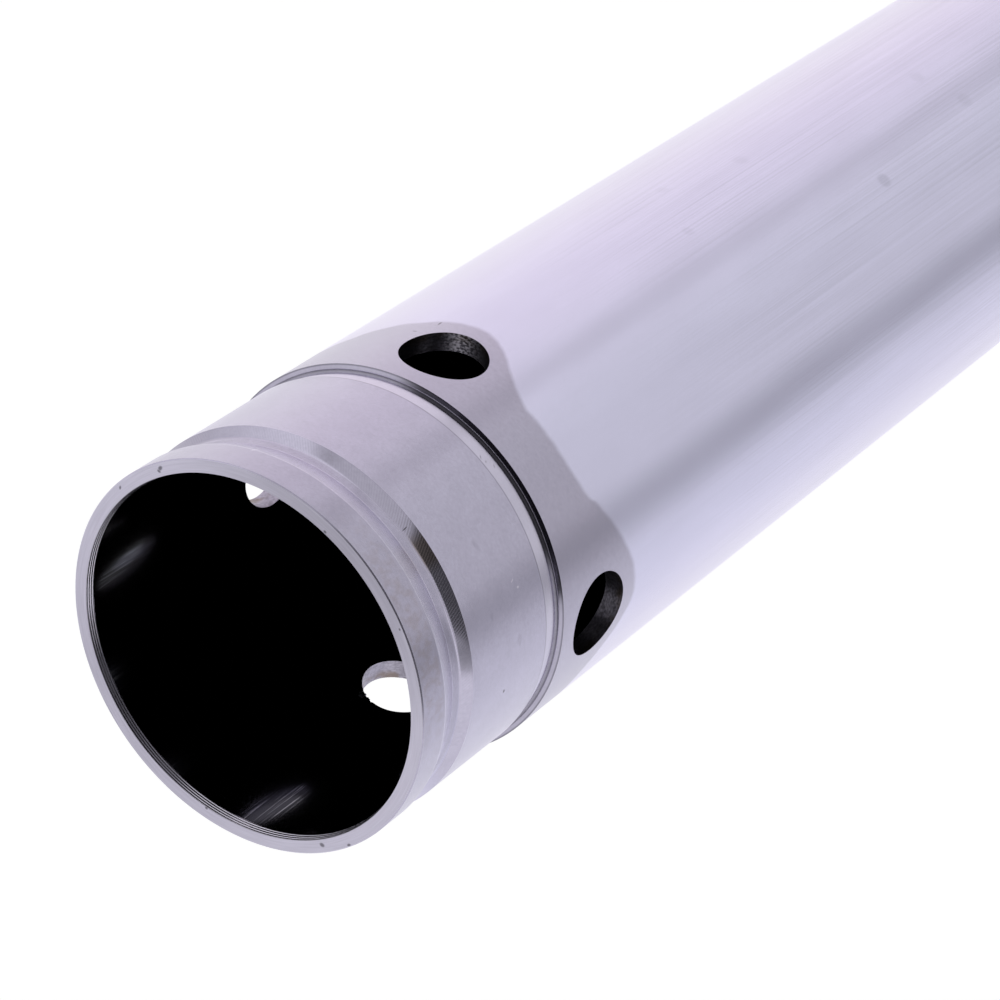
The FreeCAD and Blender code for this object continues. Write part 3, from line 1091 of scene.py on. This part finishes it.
def make_finishes():
    groups = {
        "place": make_place_group(),
        "grain": make_grain_group(),
        "speck": make_speck_group(),
        "mark": make_mark_group(),
        "satin": make_satin_group(),
    }
    makers = {
        "hard_chrome": make_hard_chrome,
        "turned_steel": make_turned_steel,
        "faced_steel": make_faced_steel,
        "drawn_bore": make_drawn_bore,
        "drilled_wall": make_drilled_wall,
    }
    return {name: maker(groups) for name, maker in makers.items()}


# Studio: floor, reflections, world and lamps

FLOOR_RADIUS = 9.0
SHEET_RADIUS = 8.82
SHEET_HEIGHT = 0.4 * MM
DISC_STEPS = 96
FLOOR_COLOUR = (0.8, 0.8, 0.8, 1.0)
FLOOR_GLOW = 0.33
FAR_FLOOR_GLOW = 0.5
GLOW_RISE_START = 1.0
GLOW_RISE_END = 2.6


def seen_directly(tree):
    """1 for rays that show the backdrop: from the camera, off metal or through glass."""
    path = add_node(tree, "ShaderNodeLightPath")
    straight = plus(tree, path.outputs["Is Camera Ray"], path.outputs["Is Glossy Ray"])
    return plus(tree, straight, path.outputs["Is Transmission Ray"], clamp=True)


def make_disc(name, radius, height):
    """A flat round sheet that faces up."""
    points = [(0.0, 0.0, height)]
    for step in range(DISC_STEPS):
        turn = math.tau * step / DISC_STEPS
        points.append((radius * math.cos(turn), radius * math.sin(turn), height))
    faces = [(0, step + 1, (step + 1) % DISC_STEPS + 1) for step in range(DISC_STEPS)]
    mesh = bpy.data.meshes.new(name)
    mesh.from_pydata(points, [], faces)
    disc = link(name, mesh)
    return disc


def make_floor():
    floor = make_disc("studio_floor", FLOOR_RADIUS, 0.0)
    material, tree = new_material("pale_floor")
    matt = add_node(tree, "ShaderNodeBsdfDiffuse")
    feed_all(tree, matt, Color=FLOOR_COLOUR)
    way_out = vector_math(tree, "LENGTH", add_node(tree, "ShaderNodeTexCoord").outputs["Object"])
    span = (GLOW_RISE_START, GLOW_RISE_END, FLOOR_GLOW, FAR_FLOOR_GLOW)
    brightness = ease(tree, way_out.outputs["Value"], *span)
    glow = add_node(tree, "ShaderNodeEmission")
    feed_all(tree, glow, Strength=times(tree, seen_directly(tree), brightness))
    both_lights = add_node(tree, "ShaderNodeAddShader")
    feed(tree, both_lights.inputs[0], matt.outputs[0])
    feed(tree, both_lights.inputs[1], glow.outputs[0])
    out = add_node(tree, "ShaderNodeOutputMaterial")
    feed(tree, out.inputs["Surface"], both_lights.outputs[0])
    floor.data.materials.append(material)
    return floor


# Each shade is a soft dark wedge in the metal's reflections: heading, half width and depth of tone
SHADES = [
    ("broad_shade", 31.0, 128.0, 0.27),
    ("dark_shade", -4.5, 21.0, 0.43),
    ("thin_shade", 87.0, 12.0, 0.19),
]
SHADE_COLOUR = (0.04, 0.045, 0.06, 1.0)
WARM_SIDE_TINT = (1.0, 0.945, 0.975, 1.0)
COOL_SIDE_TINT = (0.94, 0.95, 1.0, 1.0)
WARM_SIDE_HEADING = 130.0
COOL_SIDE_HEADING = -60.0
TINT_SPAN = 75.0


def make_reflected_shades():
    """A sheet just over the floor that only metal shows, with the soft dark wedges of the studio."""
    sheet = make_disc("reflected_shades", SHEET_RADIUS, SHEET_HEIGHT)
    material, tree = new_material("soft_shades")
    parts = split(tree, add_node(tree, "ShaderNodeTexCoord").outputs["Object"])
    turn = sum_up(tree, "ARCTAN2", parts["Y"], parts["X"])
    heading = sum_up(tree, "DEGREES", turn)
    light = 1.0
    for name, centre, half_width, depth in SHADES:
        shade = ease(tree, turned_away(tree, heading, centre), half_width, 0.0, 0.0, depth)
        shade.node.label = name
        light = times(tree, light, minus(tree, 1.0, shade))
    warm = ease(tree, turned_away(tree, heading, WARM_SIDE_HEADING), TINT_SPAN, 0.0)
    cool = ease(tree, turned_away(tree, heading, COOL_SIDE_HEADING), TINT_SPAN, 0.0)
    tint = mix_colours(tree, warm, WHITE, WARM_SIDE_TINT)
    clear = add_node(tree, "ShaderNodeBsdfTransparent")
    feed_all(tree, clear, Color=mix_colours(tree, cool, tint, COOL_SIDE_TINT))
    dark = add_node(tree, "ShaderNodeEmission")
    feed_all(tree, dark, Color=SHADE_COLOUR)
    mixed = add_node(tree, "ShaderNodeMixShader")
    feed(tree, mixed.inputs[0], light)
    feed(tree, mixed.inputs[1], dark.outputs[0])
    feed(tree, mixed.inputs[2], clear.outputs[0])
    out = add_node(tree, "ShaderNodeOutputMaterial")
    feed(tree, out.inputs["Surface"], mixed.outputs[0])
    sheet.data.materials.append(material)
    sheet.visible_camera = False
    sheet.visible_diffuse = False
    sheet.visible_shadow = False
    return sheet


# Darker places that metal reflects: heading, rise, radius and softness in degrees, and depth of tone
DARK_PLACES = [
    ("grey_room", 52.0, 51.0, 59.0, 5.0, 0.33),
    ("dark_room", 16.5, 61.0, 39.7, 1.0, 0.89),
    ("doorway", -12.0, 23.0, 8.0, 4.0, 0.45),
    ("stand", 110.0, 24.0, 3.0, 5.0, 0.25),
]
WORLD_IN_METAL = 0.97
WORLD_LIGHT = 0.64


def make_world():
    """White all round. Metal also shows the dark room behind the camera, high on one side."""
    world = bpy.data.worlds.new("studio_world")
    bpy.context.scene.world = world
    world.use_nodes = True
    tree = world.node_tree
    tree.nodes.clear()
    way = add_node(tree, "ShaderNodeTexCoord").outputs["Generated"]
    in_metal = WORLD_IN_METAL
    for name, heading, rise, radius, softness, depth in DARK_PLACES:
        dot = vector_math(tree, "DOT_PRODUCT", way, direction(heading, rise))
        dot.label = name
        off = sum_up(tree, "DEGREES", sum_up(tree, "ARCCOSINE", dot.outputs["Value"]))
        light = ease(tree, off, radius - softness, radius + softness, 1.0 - depth, 1.0)
        in_metal = times(tree, in_metal, light)
    path = add_node(tree, "ShaderNodeLightPath")
    off_metal = add_node(tree, "ShaderNodeMix", data_type="FLOAT")
    feed(tree, off_metal.inputs[0], path.outputs["Is Glossy Ray"])
    feed(tree, off_metal.inputs[2], WORLD_LIGHT)
    feed(tree, off_metal.inputs[3], in_metal)
    to_camera = path.outputs["Is Camera Ray"]
    straight = plus(tree, to_camera, path.outputs["Is Transmission Ray"], clamp=True)
    strength = add_node(tree, "ShaderNodeMix", data_type="FLOAT")
    feed(tree, strength.inputs[0], straight)
    feed(tree, strength.inputs[2], off_metal.outputs[0])
    feed(tree, strength.inputs[3], 1.0)
    sky = add_node(tree, "ShaderNodeBackground")
    feed_all(tree, sky, Color=WHITE, Strength=strength.outputs[0])
    out = add_node(tree, "ShaderNodeOutputWorld")
    feed(tree, out.inputs["Surface"], sky.outputs[0])


def look_at(place, target):
    """A matrix that stands at the place and points -Z at the target."""
    way = (Vector(target) - Vector(place)).normalized()
    return Matrix.Translation(place) @ way.to_track_quat("-Z", "Y").to_matrix().to_4x4()


# Name, heading, rise, distance, side and power of each soft lamp
LAMPS = [
    ("overhead_softbox", 120.0, 62.0, 2.4, 2.0, 16.0),
    ("side_softbox", -110.0, 40.0, 2.4, 1.6, 6.0),
]
LAMP_TARGET = (0.0, 0.0, 0.4)


def make_lamps():
    for name, heading, rise, distance, side, power in LAMPS:
        data = bpy.data.lights.new(name, "AREA")
        data.shape = "SQUARE"
        data.size = side
        data.energy = power
        lamp = link(name, data)
        place = Vector(LAMP_TARGET) + direction(heading, rise) * distance
        lamp.matrix_world = look_at(place, LAMP_TARGET)
        lamp.visible_glossy = False
        lamp.visible_camera = False


CAMERA_PLACE = (0.160609, 0.197562, 0.835555)
CAMERA_HEADING = 231.2672
CAMERA_DIP = 47.5839
CAMERA_ROLL = -125.2657
CAMERA_LENS = 128.8365
SENSOR_WIDTH = 36.0
NEAREST_SEEN = 0.01
FARTHEST_SEEN = 50.0


def make_camera():
    """The photograph's view: the camera looks down at the turned end, rolled over."""
    roll = math.radians(CAMERA_ROLL)
    forward = direction(CAMERA_HEADING, -CAMERA_DIP)
    level_right = forward.cross(Vector((0.0, 0.0, 1.0))).normalized()
    level_up = level_right.cross(forward)
    right = math.cos(roll) * level_right + math.sin(roll) * level_up
    up = math.cos(roll) * level_up - math.sin(roll) * level_right
    turned = Matrix((right, up, -forward)).transposed().to_4x4()
    data = bpy.data.cameras.new("studio_camera")
    data.sensor_width = SENSOR_WIDTH
    data.lens = CAMERA_LENS
    data.clip_start = NEAREST_SEEN
    data.clip_end = FARTHEST_SEEN
    camera = link("studio_camera", data)
    camera.matrix_world = Matrix.Translation(CAMERA_PLACE) @ turned
    bpy.context.scene.camera = camera


tube = build_tube(make_finishes())
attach(tube, "root")
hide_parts("fork_tube")

make_floor()
make_reflected_shades()
make_world()
make_lamps()
make_camera()
bpy.context.scene.view_settings.view_transform = "Standard"
